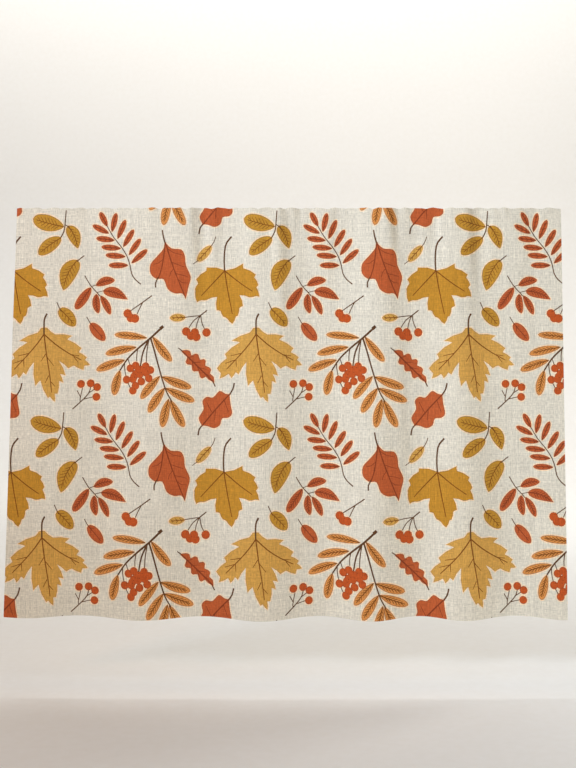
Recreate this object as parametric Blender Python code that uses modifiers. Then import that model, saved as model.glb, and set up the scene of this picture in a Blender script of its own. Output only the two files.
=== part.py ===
"""Sink skirt: one panel of linen-look cloth that hangs by its top edge in front of a cabinet.

Metres, +Z up. The origin is the middle of the top edge, halfway through the cloth. +X runs across
the width, the printed face looks along -Y, and the cloth hangs down from z = 0.
"""

import math
from collections import namedtuple

import bmesh
import bpy

# The hung panel
DROP = 0.756
TOP_WIDTH = 1.004
LEFT_FLARE = 0.026
RIGHT_FLARE = 0.012
THICKNESS = 0.0018

# How finely the sheet is divided
COLUMNS = 120
ROWS = 16

# A fold that stands forward by this much lets its hem hang lower by this share of it
HEM_DIP = 0.55

# Folds run the whole drop. Each stands forward like a soft bell, steeper on one side than the other.
Fold = namedtuple("Fold", "top_at hem_at top_left top_right hem_left hem_right top_depth hem_depth")
FOLDS = [
    Fold(-0.430, -0.478, 0.090, 0.090, 0.070, 0.060, 0.0040, 0.0080),
    Fold(-0.205, -0.270, 0.100, 0.052, 0.080, 0.090, 0.0070, 0.0185),
    Fold(-0.040, -0.050, 0.060, 0.042, 0.085, 0.082, 0.0080, 0.0200),
    Fold(0.176, 0.153, 0.050, 0.028, 0.072, 0.068, 0.0095, 0.0195),
    Fold(0.314, 0.324, 0.046, 0.028, 0.066, 0.066, 0.0085, 0.0185),
    Fold(0.412, 0.430, 0.045, 0.030, 0.060, 0.050, 0.0045, 0.0015),
    Fold(0.500, 0.510, 0.050, 0.050, 0.070, 0.080, 0.0005, 0.0120),
]

# Gathers are short creases below the top edge, where the cloth is drawn together. They stand forward
# of it where depth is positive, and sink behind it where depth is negative.
Gather = namedtuple("Gather", "at reach depth length")
GATHERS = [
    Gather(-0.372, 0.020, -0.0016, 0.07),
    Gather(-0.268, 0.018, 0.0016, 0.08),
    Gather(-0.158, 0.014, -0.0032, 0.17),
    Gather(-0.144, 0.014, 0.0030, 0.14),
    Gather(-0.068, 0.016, 0.0024, 0.12),
    Gather(0.062, 0.017, 0.0028, 0.20),
    Gather(0.200, 0.013, -0.0032, 0.17),
    Gather(0.211, 0.014, 0.0024, 0.09),
    Gather(0.270, 0.014, -0.0024, 0.12),
    Gather(0.350, 0.013, -0.0028, 0.15),
    Gather(0.378, 0.014, 0.0022, 0.10),
    Gather(0.452, 0.016, -0.0020, 0.12),
]


def blend(start, end, share):
    return start + (end - start) * share


def bell(distance, reach):
    """1 at the middle of a fold, falling softly to nothing at about twice its reach."""
    return math.exp(-((distance / reach) ** 2))


def across(side, down):
    """X of the sheet: side runs from -0.5 at the left edge to 0.5 at the right, down from 0 to 1."""
    flare = LEFT_FLARE if side < 0 else RIGHT_FLARE
    return side * (TOP_WIDTH + 2 * flare * down)


def fold_height(x, down):
    """How far the folds and gathers raise the cloth at x, at this share of the drop."""
    height = 0.0
    for fold in FOLDS:
        distance = x - blend(fold.top_at, fold.hem_at, down)
        if distance < 0:
            reach = blend(fold.top_left, fold.hem_left, down)
        else:
            reach = blend(fold.top_right, fold.hem_right, down)
        height += blend(fold.top_depth, fold.hem_depth, down) * bell(distance, reach)
    for gather in GATHERS:
        height += gather.depth * bell(x - gather.at, gather.reach) * bell(down * DROP, gather.length)
    return height


def mean_height(down):
    heights = [fold_height(across(step / COLUMNS - 0.5, down), down) for step in range(COLUMNS + 1)]
    return sum(heights) / len(heights)


def make_cloth_material():
    material = bpy.data.materials.new("printed_linen_look_cloth")
    material.use_nodes = True
    shader = material.node_tree.nodes["Principled BSDF"]
    shader.inputs["Base Color"].default_value = (0.68, 0.60, 0.49, 1)
    shader.inputs["Roughness"].default_value = 0.9
    shader.inputs["Metallic"].default_value = 0
    return material


def make_panel(collection):
    """The sheet: a flat grid laid out on the folds and given its thickness."""
    sheet = bmesh.new()
    bmesh.ops.create_grid(sheet, x_segments=COLUMNS, y_segments=ROWS, size=0.5)
    top_middle = mean_height(0) - fold_height(0, 0)
    mean_heights = {}
    for vert in sheet.verts:
        side = vert.co.x
        down = round(0.5 - vert.co.y, 6)
        if down not in mean_heights:
            mean_heights[down] = mean_height(down)
        x = across(side, down)
        forward = fold_height(x, down) - mean_heights[down]
        drop = DROP * down + HEM_DIP * forward * down ** 3
        vert.co = (x, -forward - top_middle, -drop)

    mesh = bpy.data.meshes.new("panel")
    sheet.to_mesh(mesh)
    sheet.free()
    mesh.shade_smooth()
    mesh.materials.append(make_cloth_material())
    panel = bpy.data.objects.new("panel", mesh)
    collection.objects.link(panel)

    solidify = panel.modifiers.new("cloth thickness", "SOLIDIFY")
    solidify.thickness = THICKNESS
    solidify.offset = 0


def main():
    for startup_object in list(bpy.data.objects):
        bpy.data.objects.remove(startup_object)
    collection = bpy.data.collections.new("sink_skirt")
    bpy.context.scene.collection.children.link(collection)
    make_panel(collection)


main()
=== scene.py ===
# Sink skirt: a panel of printed linen-look cloth, hung in soft folds by its top edge, for Blender 4.5
import math

import bmesh
import bpy
import numpy as np
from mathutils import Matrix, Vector, geometry


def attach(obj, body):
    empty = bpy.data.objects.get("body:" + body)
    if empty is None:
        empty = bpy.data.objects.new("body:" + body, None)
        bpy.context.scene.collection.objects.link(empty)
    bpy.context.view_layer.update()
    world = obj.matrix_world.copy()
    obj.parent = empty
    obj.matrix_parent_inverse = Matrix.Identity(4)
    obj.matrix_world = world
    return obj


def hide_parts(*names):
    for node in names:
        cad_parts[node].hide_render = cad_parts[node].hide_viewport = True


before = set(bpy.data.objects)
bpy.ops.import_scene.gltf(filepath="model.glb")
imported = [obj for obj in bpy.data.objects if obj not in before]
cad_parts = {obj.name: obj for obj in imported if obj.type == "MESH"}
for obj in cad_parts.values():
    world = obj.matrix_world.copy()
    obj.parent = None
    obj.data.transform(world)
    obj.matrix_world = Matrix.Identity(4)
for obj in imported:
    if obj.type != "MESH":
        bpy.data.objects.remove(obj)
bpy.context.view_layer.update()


def toLinear(hexColour):
    channels = [int(hexColour[i:i + 2], 16) / 255 for i in (1, 3, 5)]
    return [c / 12.92 if c <= 0.04045 else ((c + 0.055) / 1.055) ** 2.4 for c in channels] + [1.0]


def blend(start, end, share):
    return start + (end - start) * share


hanging = {
    "drop": 0.756,              # top edge to hem, metres
    "topWidth": 1.004,
    "leftFlare": 0.026,         # how far each side edge leans out over the drop
    "rightFlare": 0.012,
    "printSqueezeTop": 0.9715,  # share of its flat width that the gathered cloth keeps at the top
    "printSqueezeHem": 0.991,
    "hemDip": 0.55,             # share of a fold's forward reach by which its hem hangs lower
    "cornerSag": 0.0042,        # how much lower the free bottom corners hang, metres
    "leftSagReach": 150,        # mm in from the side edge
    "rightSagReach": 60,
    "thickness": 0.0009,
    "puckerReach": 9,           # mm below the top edge
    "puckerRise": 1.7,          # how far the top edge rises with a small wave, for each mm it stands out
    "puckerDrop": 0.0006,       # how much the puckers draw the top edge down, metres
    "puckerDropReach": 4,
}

# each fold, in mm: at (top), at (hem), left reach, right reach (top),
# left reach, right reach (hem), depth (top), depth (hem)
folds = [
    (-430, -478, 90, 90, 70, 60, 4.0, 8.0),
    (-205, -270, 100, 52, 80, 90, 7.0, 18.5),
    (-40, -50, 60, 42, 85, 82, 8.0, 20.0),
    (176, 153, 50, 28, 72, 68, 9.5, 19.5),
    (314, 324, 46, 28, 66, 66, 8.5, 18.5),
    (412, 430, 45, 30, 60, 50, 4.5, 1.5),
    (500, 510, 50, 50, 70, 80, 0.5, 12.0),
]

# short creases below the top edge: at, reach, depth, length down the cloth, in mm
gathers = [
    (-372, 20, -1.6, 70),
    (-268, 18, 1.6, 80),
    (-158, 14, -3.2, 170),
    (-144, 14, 3.0, 140),
    (-68, 16, 2.4, 120),
    (62, 17, 2.8, 200),
    (200, 13, -3.2, 170),
    (211, 14, 2.4, 90),
    (270, 14, -2.4, 120),
    (350, 13, -2.8, 150),
    (378, 14, 2.2, 100),
    (452, 16, -2.0, 120),
]

# finer creases that the top edge throws, fading downwards, in mm:
# at the top, at the end, reach, depth, length
creases = [
    (-182, -174, 9, 1.6, 190),
    (180, 207, 10, 3.0, 170),
    (328, 341, 8, 1.8, 200),
    (-22, -8, 12, 4.8, 330),
    (-24, -20, 10, -2.2, 70),
    (7, 11, 5, 1.1, 60),
    (20, 23, 4.5, -0.8, 45),
    (74, 76, 9, 1.6, 230),
    (101, 104, 4.5, 0.7, 40),
    (126, 130, 4.5, 0.8, 45),
    (281, 280, 6, 1.0, 90),
    (361, 364, 5, 1.1, 60),
    (398, 404, 5, 1.0, 60),
    (-252, -250, 9, 1.0, 90),
    (-213, -211, 7, 0.9, 70),
    (-350, -356, 9, 0.9, 80),
    (-437, -441, 8, -0.8, 70),
    (466, 470, 6, 0.9, 60),
    (250, 251, 9, 1.1, 180),
    (-56, -55, 8, 1.1, 130),
    (-140, -139, 9, 0.8, 150),
    (-280, -278, 25, 2.0, 330),
    (-193, -191, 26, 1.8, 330),
]

# broad soft ridges in the hanging cloth, in mm: start across, start down, end across, end down, reach, depth
drapes = [
    (-545, 110, -395, 430, 55, 4.5),
    (-408, 290, -386, 810, 58, 8.0),
    (-330, 60, -310, 480, 80, -3.0),
    (196, 90, 209, 560, 15, 2.4),
    (-50, 330, -52, 960, 75, 3.5),
    (152, 330, 146, 960, 62, 4.5),
    (322, 330, 325, 960, 60, 3.5),
]

# small uneven waves of the top edge: height in mm, mm for each radian, start, share of the slow drift
ripples = [
    (0.5, 4.3, 0, 1),
    (0.35, 7.1, 1, 0),
    (0.25, 2.7, 2, 0),
]


def bell(distance, reach):
    return np.exp(-(distance / reach) ** 2)


def foldHeight(x, down):
    # x in metres, down from 0 at the top to 1 at the hem: how far the cloth stands forward
    height = np.zeros_like(x)
    for topAt, hemAt, topLeft, topRight, hemLeft, hemRight, topDepth, hemDepth in folds:
        distance = x * 1000 - blend(topAt, hemAt, down)
        reach = np.where(distance < 0, blend(topLeft, hemLeft, down), blend(topRight, hemRight, down))
        height += blend(topDepth, hemDepth, down) * bell(distance, reach)
    for at, reach, depth, length in gathers:
        height += depth * bell(x * 1000 - at, reach) * bell(down * hanging["drop"] * 1000, length)
    return height / 1000


def creaseHeight(x, down):
    # what the creases and the broad ridges add to the folds
    height = np.zeros_like(x)
    for topAt, endAt, reach, depth, length in creases:
        run = np.clip(down * hanging["drop"] * 1000 / length, 0, 1)
        height += depth * bell(x * 1000 - blend(topAt, endAt, run), reach) * (1 - run ** 2) ** 2
    for fromAt, fromDown, toAt, toDown, reach, depth in drapes:
        run = np.clip((down * hanging["drop"] * 1000 - fromDown) / (toDown - fromDown), 0, 1)
        height += depth * bell(x * 1000 - blend(fromAt, toAt, run), reach) * np.sin(math.pi * run)
    return height / 1000


def pucker(u, v):
    # how far the top edge's waves stand forward, in metres; they die out down the cloth
    drift = np.sin(u / 31)
    wave = 0
    for height, length, start, share in ripples:
        wave = wave + height * np.sin(u / length + start + share * drift)
    return wave * bell(v, hanging["puckerReach"]) / 1000


def sideEdges(down):
    half = hanging["topWidth"] / 2
    return -half - hanging["leftFlare"] * down, half + hanging["rightFlare"] * down


def squeeze(down):
    return blend(hanging["printSqueezeTop"], hanging["printSqueezeHem"], down)


levels = np.linspace(0, 1, 41)
levelMeans = []
for level in levels:
    acrossLevel = np.linspace(*sideEdges(level), 241)
    levelMeans.append(foldHeight(acrossLevel, level).mean())
topMiddle = levelMeans[0] - foldHeight(np.zeros(1), 0.0)[0]


def hang(u, v):
    # u across and v down the flat cloth in mm, u = 0 in the middle; gives places in metres
    down = np.clip(v / 1000 / hanging["drop"], 0, 1)
    x = u / 1000 * squeeze(down)
    forward = foldHeight(x, down) - np.interp(down, levels, levelMeans)
    left, right = sideEdges(down)
    sag = bell((x - left) * 1000, hanging["leftSagReach"])
    sag += bell((right - x) * 1000, hanging["rightSagReach"])
    z = -hanging["drop"] * down - (hanging["hemDip"] * forward + hanging["cornerSag"] * sag) * down ** 3
    ruffle = pucker(u, v)
    y = -forward - topMiddle - creaseHeight(x, down) - ruffle
    z += ruffle * hanging["puckerRise"] - hanging["puckerDrop"] * bell(v, hanging["puckerDropReach"])
    return np.column_stack([x, y, z])


def frontNormals(u, v):
    # which way the printed face looks at each place of the flat cloth
    step = 0.8  # mm
    across = hang(u + step, v) - hang(u - step, v)
    below = np.minimum(v + step, hanging["drop"] * 1000)
    downwards = hang(u, below) - hang(u, np.maximum(v - step, 0))
    normals = np.cross(downwards, across)
    return normals / np.linalg.norm(normals, axis=1, keepdims=True)


printRepeat = {
    "across": 400,       # mm to the next copy of each leaf
    "down": 371.7,
    "start": -500,       # where the first copy's own zero lies across the cloth
    "halo": 2.2,         # pale peach edge that the dye leaves round each shape
    "rim": 0.9,          # darker line just inside it
    "opensFrom": 500,    # mm down, below which the hanging cloth opens out and its print lies lower
    "opensBy": 0.025,
}

# the cloth's own colour and its dyes: a leaf has one for its fill, its rim and its veins
inks = {
    "ground": "#dcd5c6",
    "halo": "#f0d5b4",
    "gold": "#be872b",
    "goldRim": "#9b7029",
    "goldVein": "#7a430c",
    "olive": "#bb882f",
    "oliveRim": "#8c6a29",
    "oliveVein": "#7e4a10",
    "straw": "#ce9c4c",
    "strawRim": "#ae843c",
    "strawVein": "#7a440f",
    "rust": "#b8592e",
    "rustRim": "#944629",
    "rustVein": "#84391a",
    "orange": "#d28b49",
    "orangeRim": "#9a6235",
    "orangeVein": "#774210",
    "berry": "#bc5220",
    "berryRim": "#943e1a",
    "stem": "#5d3d22",
    "twig": "#5a391f",
}

# what every leaf and berry of the print shares
drawing = {
    "crowding": 0.09,         # draws an outline's points towards the leaf's two ends
    "plainTooth": 7,          # mm, up to which the side of a tooth stays straight
    "firstPair": 0.18,        # where the side veins start and end, share of the leaf's length
    "lastPair": 0.72,
    "pairStagger": 0.03,
    "sideReach": 0.31,        # how far a side vein reaches, share of the leaf's width
    "sideLean": 0.12,         # and towards the tip, share of its length
    "midribTaper": 0.7,
    "sideVein": (0.7, 0.45),  # widths at its root and end, share of the midrib's
    "berryCorners": 12,
}


def along(points, share):
    # place and heading on a smooth curve through given points
    if len(points) == 2:
        points = [points[0], points[0].lerp(points[1], 0.5), points[1]]
    spot = share * (len(points) - 1)
    i = min(int(spot), len(points) - 2)
    t = spot - i
    before = points[i - 1] if i else points[0] * 2 - points[1]
    after = points[i + 2] if i + 2 < len(points) else points[-1] * 2 - points[-2]
    a, b = points[i], points[i + 1]
    c1, c2, c3 = b - before, 2 * before - 5 * a + 4 * b - after, 3 * a - before - 3 * b + after
    place = 0.5 * (2 * a + c1 * t + c2 * t * t + c3 * t ** 3)
    heading = c1 + 2 * c2 * t + 3 * c3 * t * t
    return place, heading.normalized()


def ribbon(points, startWidth, endWidth, steps):
    # a drawn line: up one side of it and back down the other
    near, far = [], []
    for step in range(steps + 1):
        place, heading = along(points, step / steps)
        side = Vector((-heading.y, heading.x)) * blend(startWidth, endWidth, step / steps) / 2
        near.append(place + side)
        far.append(place - side)
    return near + far[::-1]


def leafEdge(base, tip, width, bend=0.0, roundBase=0.7, roundTip=0.66, steps=10):
    # half the width follows share^roundBase * (1 - share)^roundTip
    axis = tip - base
    side = Vector((-axis.y, axis.x)).normalized()
    peak = roundBase / (roundBase + roundTip)
    fullest = peak ** roundBase * (1 - peak) ** roundTip
    rims = []
    for sign in (1, -1):
        rim = []
        for step in range(1, steps):
            share = step / steps
            share -= drawing["crowding"] * math.sin(2 * math.pi * share)
            half = width / 2 * share ** roundBase * (1 - share) ** roundTip / fullest
            rim.append(base + axis * share + side * (bend * math.sin(math.pi * share) + sign * half))
        rims.append(rim)
    return [base] + rims[0] + [tip] + rims[1][::-1]


def roundedEdge(spots, perSpan=3):
    # a closed soft outline through listed places; one that is given twice stays a corner
    ring = []
    for i, spot in enumerate(spots):
        if spot == spots[(i + 1) % len(spots)]:
            continue
        points = [Vector(spots[(i + turn) % len(spots)]) for turn in (-1, 0, 1, 2)]
        ring += [along(points, (1 + step / perSpan) / 3)[0] for step in range(perSpan)]
    return ring


def toothedEdge(tips, bulge=0.07):
    # round a leaf from tip to tip, each with the hollow that follows it: how far along to the next tip,
    # how deep; a tooth's longer side bulges and its shorter one is hollow
    ring = []
    for i, (x, y, share, depth) in enumerate(tips):
        tip, nextTip = Vector((x, y)), Vector(tips[(i + 1) % len(tips)][:2])
        chord = nextTip - tip
        hollow = tip + chord * share + Vector((-chord.y, chord.x)).normalized() * depth
        longer = max((hollow - tip).length, (nextTip - hollow).length)
        for start, end in ((tip, hollow), (hollow, nextTip)):
            edge = end - start
            outwards = Vector((edge.y, -edge.x)) * (bulge if edge.length == longer else -bulge)
            ring.append(start)
            if edge.length > drawing["plainTooth"]:
                ring.append(start + edge / 2 + outwards)
    return ring


def swollen(points, by):
    # the outline pushed outwards by the same distance everywhere
    area = sum(a.x * b.y - b.x * a.y for a, b in zip(points, points[1:] + points[:1]))
    grown = []
    for i, point in enumerate(points):
        ahead = (points[(i + 1) % len(points)] - point).normalized()
        behind = (point - points[i - 1]).normalized()
        normal = Vector((ahead.y + behind.y, -ahead.x - behind.x))
        needleTip = normal.length <= 0.3
        normal = Vector((ahead.y, -ahead.x)) if needleTip else normal.normalized()
        grown.append(point + normal * (by if area > 0 else -by))
    return grown


shapes = []  # layer, ink and outline of everything printed; a later layer covers an earlier one
layers = {"halo": 0, "rim": 1, "leaf": 2, "stem": 3, "berryRim": 4, "berry": 5, "vein": 6}


def spotOn(at, spot):
    return Vector((at[0] + spot[0], at[1] + spot[1]))


def drawFilled(outline, ink, layer="leaf", rimLayer="rim"):
    shapes.append((layers["halo"], "halo", swollen(outline, printRepeat["halo"])))
    shapes.append((layers[rimLayer], ink + "Rim", outline))
    shapes.append((layers[layer], ink, swollen(outline, -printRepeat["rim"])))


def drawStem(at, spots, startWidth, endWidth, ink="stem", steps=6):
    line = ribbon([spotOn(at, spot) for spot in spots], startWidth, endWidth, steps)
    shapes.append((layers["stem"], ink, line))


def drawVein(at, spots, ink, startWidth=1.8, endWidth=1.2, steps=4):
    line = ribbon([spotOn(at, spot) for spot in spots], startWidth, endWidth, steps)
    shapes.append((layers["vein"], ink + "Vein", line))


def drawBerries(at, spots, radius):
    turns = [2 * math.pi * i / drawing["berryCorners"] for i in range(drawing["berryCorners"])]
    for x, y in spots:
        circle = [spotOn(at, (x, y)) + Vector((math.cos(t), math.sin(t))) * radius for t in turns]
        drawFilled(circle, "berry", "berry", "berryRim")
        darkMark = [(x + 2, y - radius * 0.55), (x + 4, y - radius * 0.35)]
        drawVein(at, darkMark, "rust", 1.2, 0.8, 1)


def drawLeaf(at, base, tip, width, ink, pairs=4, veinWidth=1.7, **form):
    # pairs: how many pairs of side veins; form goes to leafEdge
    base, tip = spotOn(at, base), spotOn(at, tip)
    drawFilled(leafEdge(base, tip, width, **form), ink)
    axis = tip - base
    side = Vector((-axis.y, axis.x)).normalized()
    bend = form.get("bend", 0.0)

    def onMidrib(share):
        return base + axis * share + side * bend * math.sin(math.pi * share)

    midrib = [onMidrib(share) for share in (0.0, 0.3, 0.6, 0.88)]
    drawVein((0, 0), midrib, ink, veinWidth, veinWidth * drawing["midribTaper"])
    rootWidth, endWidth = [veinWidth * share for share in drawing["sideVein"]]
    for pair in range(pairs):
        share = blend(drawing["firstPair"], drawing["lastPair"], pair / max(pairs - 1, 1))
        fullness = math.sin(math.pi * min(share + 0.1, 1.0)) ** 0.7
        for sign in (1, -1):
            root = onMidrib(share + drawing["pairStagger"] * sign)
            end = root + side * sign * width * drawing["sideReach"] * fullness + axis * drawing["sideLean"]
            drawVein((0, 0), [root, end], ink, rootWidth, endWidth, 1)


def drawEdged(at, edge, ink):
    drawFilled([spotOn(at, spot) for spot in edge], ink)


def goldSprig(at):
    drawStem(at, [(2, -26), (0, 0), (-2, 13), (-9, 26)], 2.0, 2.3)
    drawStem(at, [(0, 0), (6, 4), (12, 11)], 1.8, 1.7, steps=3)
    drawLeaf(at, (-2, 4), (-61, -11), 30, "olive", 6, bend=-1, roundBase=0.72, roundTip=0.56)
    drawLeaf(at, (6, 2), (25, 44), 24, "olive", 5, bend=-3, roundBase=0.55, roundTip=0.85)
    drawLeaf(at, (-7, 24), (-50, 55), 25, "olive", 5, bend=1.5, roundBase=0.62, roundTip=0.6)


def goldLeaf(at):
    drawStem(at, [(14, -10), (6, -4), (0, 1)], 1.8, 2.2, steps=4)
    drawLeaf(at, (1, -2), (-25, 54), 32, "olive", 6, bend=5.5, roundBase=0.56, roundTip=0.8)


def broadMaple(at):
    drawEdged(at, toothedEdge([
        (-34, -6, 0.5, 9), (35, -13, 0.2, 6), (59, 7, 0.24, 4), (64, 26, 0.2, 4), (66, 48, 0.4, 1.5),
        (47, 49, 0.4, 17), (35, 65, 0.33, 4), (25, 83, 0.2, 2), (15, 98, 0.6, 1.5), (-2, 85, 0.64, 4),
        (-15, 73, 0.63, 18), (-34, 54, 0.5, 1.5), (-52, 58, 0.7, -1), (-56, 34, 0.57, 4.5),
        (-54, 16, 0.83, 3.5),
    ]), "gold")
    for spots in ([(0, 0), (-21, 22), (-44, 46)], [(0, 0), (6, 36), (15, 80)], [(0, 0), (27, 21), (53, 38)]):
        drawVein(at, spots, "gold", 2.1, 1.5, 5)
    drawStem(at, [(13, -63), (2, -48), (-1, -22), (0, 1)], 3.2, 2.8, steps=8)


def pointedMaple(at):
    drawEdged(at, toothedEdge([
        (-6, -11, 0.5, -1), (5, -12, 0.38, 7), (52, 3, 0.0, 11), (70, 26, 0.2, 8), (80, 43, 0.2, 5),
        (86, 57, 0.55, 5), (74, 66, 0.65, 6), (46, 63, -0.47, 21), (41, 76, 0.03, 10), (37, 89, 0.03, 8),
        (27, 109, 0.15, 5), (22, 124, 0.85, 4), (9, 117, 1.0, 14), (-15, 95, 1.28, 26), (-33, 74, 0.2, 6),
        (-47, 81, 0.2, 8), (-69, 82, 0.45, 5), (-74, 63, 0.84, 7), (-59, 37, 1.15, 15), (-46, 12, 0.79, 4),
    ], 0.05), "straw")
    for spots in ([(0, 0), (-12, 17), (-30, 38), (-56, 65)], [(0, 0), (5, 36), (12, 76), (16, 107)],
                  [(0, 0), (22, 19), (46, 35), (70, 48)]):
        drawVein(at, spots, "straw", 2.3, 1.5, 6)
    for spots in ([(-27, 35), (-48, 40)], [(-38, 47), (-58, 54)], [(-38, 47), (-37, 60)],
                  [(4, 36), (-5, 50)], [(6, 42), (19, 58)], [(10, 76), (3, 90)], [(13, 86), (22, 96)],
                  [(56, 42), (64, 52)], [(52, 38), (66, 40)]):
        drawVein(at, spots, "straw", 1.5, 1.0, 2)
    drawStem(at, [(5, -38), (0, -26), (0, 1)], 3.4, 2.8)


def rustPinnate(at):
    stalk = [(0, 0), (12, 20), (27, 38), (38, 55), (44, 72), (47, 87), (54, 98), (65, 107)]
    drawStem(at, stalk, 1.7, 2.2, steps=14)
    leaflets = [
        ((0, 0), (-14, -26)), ((9, 10), (17, -25)), ((20, 23), (35, -12)), ((31, 38), (51, 6)),
        ((42, 53), (64, 23)), ((47, 68), (77, 43)), ((3, 13), (-28, -2)), ((14, 26), (-21, 22)),
        ((26, 41), (-11, 38)), ((35, 56), (-3, 53)), ((40, 72), (3, 72)),
    ]
    for base, tip in leaflets:
        drawLeaf(at, base, tip, 11.4, "rust", 3, veinWidth=2.2, roundBase=0.66, roundTip=0.54, steps=8)


def rustHeart(at):
    drawEdged(at, roundedEdge([
        (0, 0), (0, 0), (12, 11), (30, 13), (37, 25), (39, 42), (48, 63), (44, 82), (39, 104), (39, 104),
        (32, 94), (19, 94), (5, 86), (-3, 68), (-17, 67), (-28, 57), (-28, 40), (-16, 26), (-4, 12),
    ]), "rust")
    drawStem(at, [(-6, -23), (-4, -11), (0, 3)], 2.6, 3.0, steps=4)
    drawVein(at, [(0, 0), (9, 28), (20, 58), (39, 103)], "rust", 2.6, 1.8, 7)
    drawVein(at, [(-1, 3), (-3, 25), (-7, 48), (-13, 66)], "rust", 2.2, 2.0, 6)
    for spots in ([(11, 36), (24, 41), (36, 45)], [(16, 48), (10, 56), (8, 64)],
                  [(24, 68), (32, 74), (42, 75)], [(3, 11), (16, 19), (32, 23)],
                  [(-3, 30), (-13, 38), (-22, 40)], [(19, 57), (32, 60), (42, 63)]):
        drawVein(at, spots, "rust", 1.3, 0.9, 2)
    drawStem(at, [(-13, 64), (-18, 74), (-18, 83)], 2.4, 2.6, steps=4)


def thinGold(at):
    drawLeaf(at, (0, 0), (-27, 29), 16.5, "straw", 3, roundBase=0.6, roundTip=0.6)
    drawStem(at, [(8, -17), (5, -8), (0, 0)], 1.5, 1.6, steps=3)
    drawStem(at, [(-25, 27), (-35, 34)], 1.5, 1.3, steps=1)


def rustSprig(at):
    drawStem(at, [(0, 0), (11, 18), (23, 31), (29, 38)], 1.8, 1.9)
    drawStem(at, [(13, 20), (22, 17)], 1.4, 1.3, steps=1)
    drawStem(at, [(23, 31), (36, 28)], 1.4, 1.3, steps=1)
    drawLeaf(at, (21, 18), (57, 8), 16, "rust", 5, veinWidth=2.1, bend=-3)
    drawLeaf(at, (35, 28), (82, 44), 20, "rust", 6, veinWidth=2.1, bend=-4, roundBase=0.62, roundTip=1.0)
    drawLeaf(at, (12, 22), (-17, 62), 18, "rust", 6, veinWidth=2.1, roundBase=0.6, roundTip=0.5)
    drawLeaf(at, (22, 34), (26, 70), 15, "rust", 5, veinWidth=2.1, bend=2, roundBase=0.6)
    drawLeaf(at, (30, 37), (49, 72), 14, "rust", 5, veinWidth=2.1, bend=-1.5, roundBase=0.7)


def berryPair(at):
    drawStem(at, [(17, -12), (0, 0), (-25, 17)], 2.2, 1.8, steps=5)
    drawStem(at, [(0, 0), (-5, 9), (-11, 22)], 1.9, 1.7, steps=3)
    drawBerries(at, [(-29, 21), (-23, 29), (-15, 30)], 8.2)


def smallGold(at):
    drawStem(at, [(-6, -13), (0, 0), (3, 4)], 1.8, 1.8, steps=3)
    drawLeaf(at, (-1, -1), (29, 31), 25, "olive", 4, bend=-1, roundBase=0.5, roundTip=0.6)


def smallRust(at):
    drawStem(at, [(-7, -12), (0, 0), (3, 3)], 1.6, 1.6, steps=3)
    drawLeaf(at, (0, 0), (28, 32), 21, "rust", 2, roundBase=0.55, roundTip=0.6)


def goldBerrySprig(at):
    drawStem(at, [(13, -10), (0, 0)], 2.2, 2.2, steps=2)
    drawStem(at, [(0, 0), (-14, 1), (-29, 3)], 1.8, 1.6, steps=3)
    drawStem(at, [(0, 0), (-12, 9), (-21, 22)], 1.9, 1.7, steps=4)
    drawStem(at, [(0, 0), (-5, 11), (-8, 24)], 1.9, 1.7, steps=3)
    drawStem(at, [(1, 0), (3, 13), (8, 24)], 1.9, 1.7, steps=3)
    drawLeaf(at, (-27, 3), (-57, 4), 14.5, "straw", 3)
    drawBerries(at, [(-26, 29), (-17, 37), (-10, 31), (-7, 39), (12, 31)], 8.0)


def rowanBranch(at):
    drawStem(at, [(22, -20), (0, 0), (-21, 17), (-43, 38), (-58, 60)], 4.0, 2.6, "twig", 12)
    drawStem(at, [(0, 0), (7, 22), (19, 64), (30, 97), (41, 117)], 3.4, 2.2, "twig", 12)
    drawStem(at, [(18, -17), (24, -22)], 6.4, 5.4, "twig", 1)
    drawStem(at, [(-3, 2), (-14, 26), (-19, 52)], 3.4, 2.6, "twig", 6)
    drawStem(at, [(-3, 2), (-7, 26), (-8, 46)], 2.2, 1.8, "twig", 5)
    drawStem(at, [(-24, 20), (-26, 31), (-26, 43)], 1.9, 1.7, "twig", 3)
    drawStem(at, [(-43, 38), (-39, 50)], 1.7, 1.6, "twig", 1)
    drawStem(at, [(-49, 46), (-49, 58), (-46, 72)], 1.8, 1.6, "twig", 3)
    drawStem(at, [(-44, 80), (-38, 92)], 1.9, 1.6, "twig", 1)
    leaflets = [
        ((-7, 0), (-69, -6), 14), ((-27, 17), (-86, 30), 15.5), ((-49, 41), (-103, 60), 16),
        ((-58, 60), (-69, 106), 17), ((4, -2), (40, 43), 16), ((22, 71), (77, 92), 16.5),
        ((29, 92), (83, 117), 16.5), ((38, 114), (64, 164), 17), ((35, 112), (23, 164), 17),
        ((27, 92), (-3, 137), 17), ((18, 70), (-18, 112), 16),
    ]
    for base, tip, width in leaflets:
        drawLeaf(at, base, tip, width, "orange", 6, veinWidth=1.9, bend=1.0, roundBase=0.72, roundTip=0.54)
    drawBerries(at, [
        (-38, 56), (-28, 51), (-9, 52), (0, 59), (-15, 58), (-8, 64), (-3, 74), (-22, 58), (-28, 66),
        (-20, 67), (-31, 71), (-45, 77), (-33, 76), (-17, 80), (-28, 88), (-33, 97),
    ], 7.4)


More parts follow.
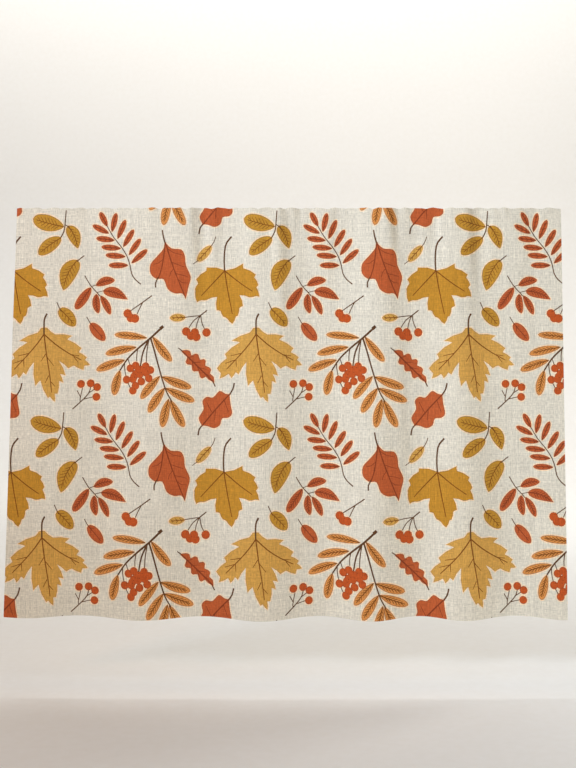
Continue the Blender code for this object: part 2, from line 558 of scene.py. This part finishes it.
def spikyRust(at):
    drawEdged(at, roundedEdge([
        (8, 4), (8, 4), (17, 3), (24, 6), (26, 13), (33, 10), (39, 12), (42, 21), (49, 20), (53, 24),
        (52, 32), (59, 35), (63, 40), (61, 47), (68, 53), (69, 64), (69, 64), (58, 58), (53, 53), (47, 56),
        (42, 53), (39, 43), (31, 43), (27, 39), (26, 31), (19, 30), (15, 25), (18, 16), (12, 11),
    ], 2), "rust")
    drawVein(at, [(8, 5), (36, 32), (68, 63)], "rust", 2.7, 2.4, 5)
    for spots in ([(20, 17), (30, 15)], [(30, 26), (43, 26)], [(40, 36), (54, 39)], [(50, 46), (61, 52)],
                  [(18, 15), (19, 25)], [(27, 23), (30, 36)], [(36, 32), (43, 47)]):
        drawVein(at, spots, "rust", 1.4, 1.0, 2)
    drawStem(at, [(1, -1), (9, 5)], 1.6, 2.4, steps=1)
    drawStem(at, [(66, 61), (71, 71)], 2.4, 2.2, steps=1)


def berryTwig(at):
    drawStem(at, [(0, 0), (20, -18), (30, -30), (33, -40)], 2.2, 1.8, steps=6)
    drawStem(at, [(14, -14), (14, -20), (18, -39)], 1.7, 1.6, steps=4)
    drawStem(at, [(15, -21), (8, -34)], 1.6, 1.7, steps=2)
    drawStem(at, [(20, -18), (38, -22)], 1.7, 1.5, steps=2)
    drawStem(at, [(29, -29), (40, -36)], 1.8, 1.6, steps=2)
    drawBerries(at, [(15, -46), (33, -47), (45, -40), (44, -22)], 7.4)


def roundRust(at):
    drawEdged(at, roundedEdge([
        (0, 0), (0, 0), (2, 18), (5, 35), (-2, 43), (-14, 45), (-18, 57), (-29, 63), (-42, 59), (-52, 58),
        (-52, 58), (-58, 44), (-49, 28), (-51, 13), (-43, 5), (-31, 6), (-19, -6), (-8, -1),
    ]), "rust")
    drawVein(at, [(1, -1), (-26, 28), (-52, 59)], "rust", 2.4, 2.4, 6)
    for spots in ([(-10, 11), (-6, 22), (-2, 32)], [(-26, 28), (-28, 48)],
                  [(-33, 34), (-39, 23), (-43, 15)]):
        drawVein(at, spots, "rust", 1.4, 1.0, 2)
    drawStem(at, [(9, -21), (6, -9), (-1, 2)], 2.8, 2.8, steps=4)
    drawStem(at, [(-51, 57), (-57, 65), (-59, 76)], 2.4, 3.0, steps=4)


# where each motif sits in one repeat, mm across and down
layout = [
    (goldSprig, 75, 31), (goldLeaf, 98, 98), (broadMaple, 378, 116), (rustPinnate, 155, 34),
    (rustHeart, 266, 64), (thinGold, 353, 70), (rustSprig, 113, 125), (berryPair, 224, 174),
    (smallGold, 67, 187), (smallRust, 124, 213), (goldBerrySprig, 332, 199), (rowanBranch, 239, 240),
    (spikyRust, 290, 259), (pointedMaple, 38, 233), (berryTwig, 93, 371), (roundRust, 388, 344),
]

# the flat cloth in mm: its side edges, each at the top and at the hem, and its length
topAndHem = np.array([0.0, 1.0])
edgeLeft, edgeRight = sideEdges(topAndHem)
flatLeft = edgeLeft * 1000 / squeeze(topAndHem)
flatRight = edgeRight * 1000 / squeeze(topAndHem)
flatDrop = hanging["drop"] * 1000

for motif, across, down in layout:
    for column in range(-1, 4):
        for row in range(-1, 3):
            x = printRepeat["start"] + across + column * printRepeat["across"]
            motif((x, down + row * printRepeat["down"]))


def reachesCloth(points):
    us = [point.x for point in points]
    vs = [point.y for point in points]
    return max(us) > flatLeft.min() and min(us) < flatRight.max() and max(vs) > 0 and min(vs) < flatDrop


def openedOut(point):
    past = max(0.0, point.y - printRepeat["opensFrom"])
    return Vector((point.x, point.y + printRepeat["opensBy"] * past))


shapes = [(layer, ink, [openedOut(point) for point in outline]) for layer, ink, outline in shapes]
shapes = [shape for shape in shapes if reachesCloth(shape[2])]
shapes.sort(key=lambda shape: shape[0])
print("print drawn:", len(shapes), "shapes")

clothGrid = {
    "cellAcross": 7.0,  # mm between the plain points of the mesh
    "cellDown": 12.0,
    "stagger": 0.25,    # share of a cell by which every other row is moved aside, and the rest the other way
    "weld": 0.02,       # mm within which two points become one
}


def flatEdge(v, side):
    return np.interp(v, [0, flatDrop], flatLeft if side < 0 else flatRight)


def cutCloth(printed, rim=None):
    # the flat cloth as triangles, with every printed outline cut into it;
    # without a rim, its edge is laid out in even steps
    columns = round((flatRight - flatLeft).mean() / clothGrid["cellAcross"])
    rows = round(flatDrop / clothGrid["cellDown"])
    points, polygons, polygonInks = [], [], []

    def addPolygon(outline, ink):
        area = sum(a[0] * b[1] - b[0] * a[1] for a, b in zip(outline, outline[1:] + outline[:1]))
        if area < 0:
            outline = outline[::-1]
        polygons.append(list(range(len(points), len(points) + len(outline))))
        points.extend(Vector((float(p[0]), float(p[1]))) for p in outline)
        polygonInks.append(ink)

    if rim is None:
        heights = [flatDrop * j / rows for j in range(rows + 1)]
        hemRight, hemLeft = flatEdge(flatDrop, 1), flatEdge(flatDrop, -1)
        rim = [(blend(flatEdge(0, -1), flatEdge(0, 1), i / columns), 0.0) for i in range(columns)]
        rim += [(flatEdge(v, 1), v) for v in heights[:-1]]
        rim += [(blend(hemRight, hemLeft, i / columns), flatDrop) for i in range(columns)]
        rim += [(flatEdge(v, -1), v) for v in heights[:0:-1]]
    addPolygon(rim, "ground")
    for _, ink, outline in printed:
        addPolygon(outline, ink)
    for j in range(1, rows):
        v = flatDrop * j / rows
        stagger = clothGrid["stagger"] if j % 2 else -clothGrid["stagger"]
        for i in range(1, columns):
            u = blend(flatEdge(v, -1), flatEdge(v, 1), (i + stagger) / columns)
            points.append(Vector((float(u), v)))
    cut = geometry.delaunay_2d_cdt(points, [], polygons, 0, clothGrid["weld"], True)
    flat, _, triangles, _, _, madeFrom = cut
    # a triangle takes the ink of the last shape that covers it; those off the cloth are left out
    kept = [(triangle, max(sources)) for triangle, sources in zip(triangles, madeFrom) if 0 in sources]
    used = sorted({i for triangle, _ in kept for i in triangle})
    renumbered = {old: new for new, old in enumerate(used)}
    faces = [[renumbered[i] for i in triangle] for triangle, _ in kept]
    return np.array([flat[i] for i in used]), faces, [polygonInks[source] for _, source in kept]


def rimOf(flat, triangles):
    # the points round the edge of the flat cloth, in order from its top left corner
    edges = {(a, b) for triangle in triangles for a, b in zip(triangle, triangle[1:] + triangle[:1])}
    ahead = {a: b for a, b in edges if (b, a) not in edges}
    ring = [min(ahead, key=lambda i: flat[i].sum())]
    while ahead[ring[-1]] != ring[0]:
        ring.append(ahead[ring[-1]])
    return ring


front = cutCloth(shapes)
frontRim = rimOf(front[0], front[1])
# the back shows the shapes that strike through, without their fine lines
struckThrough = [(layer, ink.replace("Rim", ""), outline) for layer, ink, outline in shapes
                 if ink.endswith("Rim") or layer == layers["stem"]]
back = cutCloth(struckThrough, [tuple(front[0][i]) for i in frontRim])
backRim = rimOf(back[0], back[1])
print("cloth cut:", len(front[1]), "triangles in front,", len(back[1]), "behind,",
      len(frontRim), "and", len(backRim), "points round the edge")

# the front fills the lower part of the UV square, and the back a flatter strip above it
clothUv = {
    "mmAcross": flatRight.max() - flatLeft.min(),  # mm of cloth to the whole square
    "mmDown": flatDrop / 0.71,                     # so the front takes 0.71 of its height
    "frontTop": 0.7125,
    "backTop": 0.9925,
    "backSquash": 0.38,
}


def uvOf(flatSpot, side):
    # side 0 is the front
    across = (flatSpot[0] - flatLeft.min()) / clothUv["mmAcross"]
    down = flatSpot[1] / clothUv["mmDown"]
    if side == 0:
        return across, clothUv["frontTop"] - down
    return across, clothUv["backTop"] - down * clothUv["backSquash"]


def zipped(near, far):
    # triangles that close the narrow gap between two rings of points, each step on the ring that lags behind
    done = []
    for ring in (near, far):
        spots = np.array([spot for _, spot in ring + ring[:1]])
        done.append(np.concatenate([[0], np.cumsum(np.linalg.norm(np.diff(spots, axis=0), axis=1))]))
    i = j = 0
    while i < len(near) or j < len(far):
        here, there = near[i % len(near)], far[j % len(far)]
        if j == len(far) or (i < len(near) and done[0][i + 1] <= done[1][j + 1]):
            i += 1
            yield here, near[i % len(near)], there
        else:
            j += 1
            yield here, far[j % len(far)], there


def buildCloth():
    cloth = bmesh.new()
    uvs = cloth.loops.layers.uv.new("OFBake")
    inkLayer = cloth.loops.layers.float_color.new("printInk")
    colours = {ink: toLinear(colour) for ink, colour in inks.items()}
    rings, normals = [], []
    for side, (flat, triangles, faceInks) in enumerate((front, back)):
        outward = frontNormals(flat[:, 0], flat[:, 1]) * (1 if side == 0 else -1)
        places = hang(flat[:, 0], flat[:, 1]) + outward * hanging["thickness"] / 2
        verts = [cloth.verts.new(place) for place in places]
        for triangle, ink in zip(triangles, faceInks):
            corners = triangle[::-1] if side == 0 else triangle
            face = cloth.faces.new([verts[i] for i in corners])
            face.material_index = side
            face.smooth = True
            for loop, i in zip(face.loops, corners):
                loop[inkLayer] = colours[ink]
                loop[uvs].uv = uvOf(flat[i], side)
        rings.append([(verts[i], flat[i]) for i in rimOf(flat, triangles)])
        normals.append(outward)
    faced = len(cloth.faces)
    for corners in zipped(*rings):
        face = cloth.faces.new([vert for vert, _ in corners])
        for loop, (_, flatSpot) in zip(face.loops, corners):
            loop[inkLayer] = colours["ground"]
            loop[uvs].uv = uvOf(flatSpot, 0)
    made = bpy.data.meshes.new("printedCloth")
    cloth.to_mesh(made)
    cloth.free()
    # the facets follow the print, so shading takes its direction from the folds themselves
    normals = np.concatenate(normals)
    corners = np.empty(len(made.loops), int)
    made.loops.foreach_get("vertex_index", corners)
    wanted = normals[corners]
    faceNormals = np.empty(len(made.polygons) * 3)
    made.polygons.foreach_get("normal", faceNormals)
    wanted[faced * 3:] = np.repeat(faceNormals.reshape(-1, 3)[faced:], 3, axis=0)
    made.normals_split_custom_set(wanted.tolist())
    return made


pieces = bpy.data.collections.new("sinkSkirt")
bpy.context.scene.collection.children.link(pieces)
skirt = bpy.data.objects.new("printed_cloth", buildCloth())
pieces.objects.link(skirt)
print("cloth hung:", len(skirt.data.polygons), "triangles")


def addNode(tree, kind, inputs=None, **settings):
    # inputs: socket name or number -> a value, or another node's output socket
    node = tree.nodes.new(kind)
    for key, value in settings.items():
        setattr(node, key, value)
    for key, value in (inputs or {}).items():
        if isinstance(value, bpy.types.NodeSocket):
            tree.links.new(value, node.inputs[key])
        else:
            node.inputs[key].default_value = value
    return node


def blankMaterial(name):
    material = bpy.data.materials.new(name)
    material.use_nodes = True
    tree = material.node_tree
    tree.nodes.clear()
    return material, tree


# each kind of yarn: mm between neighbours, mm over which one keeps its thickness,
# share by which it shades the cloth
weave = {
    "yarn": (1.2, 50, 0.065),       # twice the real spacing, so that it shows
    "unevenYarn": (1.0, 8, 0.078),
    "slub": (4.4, 160, 0.006),
    "weftShare": 0.76,              # the threads across show less than those down
    "mottleSize": 14,               # mm
    "mottle": 0.008,
    "relief": 0.25,
}


def linenCloth(name, side, inkShare):
    # linen-look cloth: a matt, dry face with thick and thin yarns both ways and a few long slubs
    material, tree = blankMaterial(name)
    uvMap = addNode(tree, "ShaderNodeUVMap", uv_map="OFBake")
    squash = clothUv["backSquash"] if side == "back" else 1
    millimetres = addNode(tree, "ShaderNodeMapping", {
        "Vector": uvMap.outputs["UV"], "Scale": (clothUv["mmAcross"], clothUv["mmDown"] / squash, 1)})
    cloud = addNode(tree, "ShaderNodeTexNoise", {
        "Vector": millimetres.outputs["Vector"], "Scale": 1 / weave["mottleSize"], "Detail": 2.0},
        noise_dimensions="2D")
    # noise that mostly lies between 0.3 and 0.7 becomes a shade a little under and over 1
    shade = addNode(tree, "ShaderNodeMapRange", {
        "Value": cloud.outputs["Fac"], "From Min": 0.3, "From Max": 0.7,
        "To Min": 1 - weave["mottle"], "To Max": 1 + weave["mottle"]}, clamp=False).outputs["Result"]
    for step, kind in enumerate(("yarn", "unevenYarn", "slub")):
        spacing, run, strength = weave[kind]
        apart = (3.1 + 7 * step, 5.7 * step, 0)  # each kind of yarn reads another part of the noise
        warp = (1 / spacing, 1 / run, 1)
        weft = (1 / run, 1 / spacing, 1)
        for scale, share in ((warp, 1), (weft, weave["weftShare"])):
            spread = addNode(tree, "ShaderNodeMapping", {
                "Vector": millimetres.outputs["Vector"], "Scale": scale, "Location": apart})
            threads = addNode(tree, "ShaderNodeTexNoise", {
                "Vector": spread.outputs["Vector"], "Scale": 1.0, "Detail": 0.0}, noise_dimensions="2D")
            shades = addNode(tree, "ShaderNodeMapRange", {
                "Value": threads.outputs["Fac"], "From Min": 0.3, "From Max": 0.7,
                "To Min": 1 - strength * share, "To Max": 1 + strength * share}, clamp=False)
            shade = addNode(tree, "ShaderNodeMath", {0: shade, 1: shades.outputs["Result"]},
                            operation="MULTIPLY").outputs["Value"]
    ink = addNode(tree, "ShaderNodeAttribute", attribute_name="printInk").outputs["Color"]
    if inkShare < 1:
        ink = addNode(tree, "ShaderNodeMix", {
            "Factor": inkShare, 6: toLinear(inks["ground"]), 7: ink}, data_type="RGBA").outputs[2]
    colour = addNode(tree, "ShaderNodeVectorMath", {0: ink, "Scale": shade}, operation="SCALE")
    relief = addNode(tree, "ShaderNodeBump", {
        "Height": shade, "Strength": weave["relief"], "Distance": 0.0006})
    surface = addNode(tree, "ShaderNodeBsdfPrincipled", {
        "Base Color": colour.outputs["Vector"], "Roughness": 0.88, "Specular IOR Level": 0.25,
        "Sheen Weight": 0.08, "Sheen Roughness": 0.5, "Normal": relief.outputs["Normal"]})
    addNode(tree, "ShaderNodeOutputMaterial", {"Surface": surface.outputs["BSDF"]})
    return material


skirt.data.materials.append(linenCloth("linenLookFront", "front", 1))
skirt.data.materials.append(linenCloth("linenLookBack", "back", 0.35))  # dye only part strikes through

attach(skirt, "root")
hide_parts("panel")
print("cloth coloured:", ", ".join(material.name for material in skirt.data.materials))

studio = {
    "floorLevel": -0.88,   # metres, as the rest
    "wallBehind": 3.6,
    "wallTop": 4.0,
    "halfSize": 6.0,       # from the middle to either side, and to the front edge
    "coveRadius": 1.2,
    "coveSteps": 12,
    "paper": "#f4f2ee",
    "paperShade": "#efece6",
}


def studioPaper():
    # matt paper sweep: an even pale field with the faintest tooth
    material, tree = blankMaterial("sweepPaper")
    place = addNode(tree, "ShaderNodeTexCoord").outputs["Object"]
    tooth = addNode(tree, "ShaderNodeTexNoise", {"Vector": place, "Scale": 60.0, "Detail": 2.0})
    tone = addNode(tree, "ShaderNodeMix", {
        "Factor": tooth.outputs["Fac"], 6: toLinear(studio["paper"]),
        7: toLinear(studio["paperShade"])}, data_type="RGBA")
    surface = addNode(tree, "ShaderNodeBsdfPrincipled", {
        "Base Color": tone.outputs[2], "Roughness": 0.95, "Specular IOR Level": 0.1})
    addNode(tree, "ShaderNodeOutputMaterial", {"Surface": surface.outputs["BSDF"]})
    return material


def buildSweep():
    sweep = bmesh.new()
    wall, floor, radius = studio["wallBehind"], studio["floorLevel"], studio["coveRadius"]
    profile = [(-studio["halfSize"], floor)]
    for i in range(studio["coveSteps"] + 1):
        turn = math.radians(90 * i / studio["coveSteps"])
        profile.append((wall - radius + radius * math.sin(turn), floor + radius - radius * math.cos(turn)))
    profile.append((wall, studio["wallTop"]))
    verts = [sweep.verts.new((-studio["halfSize"], y, z)) for y, z in profile]
    edges = [sweep.edges.new(pair) for pair in zip(verts, verts[1:])]
    grown = bmesh.ops.extrude_edge_only(sweep, edges=edges)
    moved = [item for item in grown["geom"] if isinstance(item, bmesh.types.BMVert)]
    bmesh.ops.translate(sweep, verts=moved, vec=(2 * studio["halfSize"], 0, 0))
    bmesh.ops.recalc_face_normals(sweep, faces=sweep.faces)
    if sum(face.normal.z for face in sweep.faces) < 0:
        bmesh.ops.reverse_faces(sweep, faces=sweep.faces)
    for face in sweep.faces:
        face.smooth = True
    mesh = bpy.data.meshes.new("sweep")
    sweep.to_mesh(mesh)
    sweep.free()
    return mesh


sweep = bpy.data.objects.new("studio_sweep", buildSweep())
bpy.context.scene.collection.objects.link(sweep)
sweep.data.materials.append(studioPaper())


def addLight(name, kind, place, aim, power, colour, **settings):
    light = bpy.data.lights.new(name, kind)
    light.energy = power
    light.color = toLinear(colour)[:3]
    for key, value in settings.items():
        setattr(light, key, value)
    lamp = bpy.data.objects.new(name, light)
    lamp.location = place
    lamp.rotation_euler = (Vector(aim) - Vector(place)).to_track_quat("-Z", "Y").to_euler()
    lamp.visible_camera = False
    bpy.context.scene.collection.objects.link(lamp)


addLight("keyLight", "SPOT", (-3.0, -2.6, 1.0), (0.6, 0, -0.1), 622, "#d3e8fc",
         spot_size=math.radians(34), spot_blend=1, shadow_soft_size=0.4)
addLight("fillLight", "AREA", (0.9, -2.8, -0.55), (0.45, 0, -0.50), 14.5, "#fff1d0",
         shape="RECTANGLE", size=1.2, size_y=0.8)
addLight("warmLight", "AREA", (-1.6, -1.4, 0.4), (-0.4, 0, -0.15), 6.5, "#ffc090",
         shape="SQUARE", size=0.4)
addLight("topLight", "AREA", (0, -1.6, 2.6), (0, 0.45, 0.6), 9, "#ffffff",
         shape="RECTANGLE", size=3.0, size_y=0.6)
addLight("wallLight", "AREA", (0, 2.4, 2.6), (0, 3.6, 0.6), 75, "#ffffff",
         shape="RECTANGLE", size=5.0, size_y=0.6)
addLight("backLight", "AREA", (2.8, 1.5, 0.6), (0, 0, -0.4), 34, "#ffffff",
         shape="SQUARE", size=0.8)

world = bpy.data.worlds.new("softRoom")
world.use_nodes = True
world.node_tree.nodes["Background"].inputs["Color"].default_value = toLinear("#ffffff")
world.node_tree.nodes["Background"].inputs["Strength"].default_value = 0.31
bpy.context.scene.world = world
bpy.context.scene.view_settings.view_transform = "Standard"
print("studio lit")

view = {
    "sensor": 36,           # mm
    "across": -0.002,       # metres, as the rest
    "distance": 2.5,
    "height": -0.157,
    "frameHeight": 1.417,   # what the frame shows of the cloth's plane, bottom to top
    "frameMiddle": -0.325,
}
lens = bpy.data.cameras.new("camera")
lens.sensor_width = view["sensor"]
lens.lens = view["sensor"] * view["distance"] / view["frameHeight"]
lens.shift_y = (view["frameMiddle"] - view["height"]) / view["frameHeight"]
camera = bpy.data.objects.new("camera", lens)
camera.location = (view["across"], -view["distance"], view["height"])
camera.rotation_euler = (math.radians(90), 0, 0)
bpy.context.scene.collection.objects.link(camera)
bpy.context.scene.camera = camera
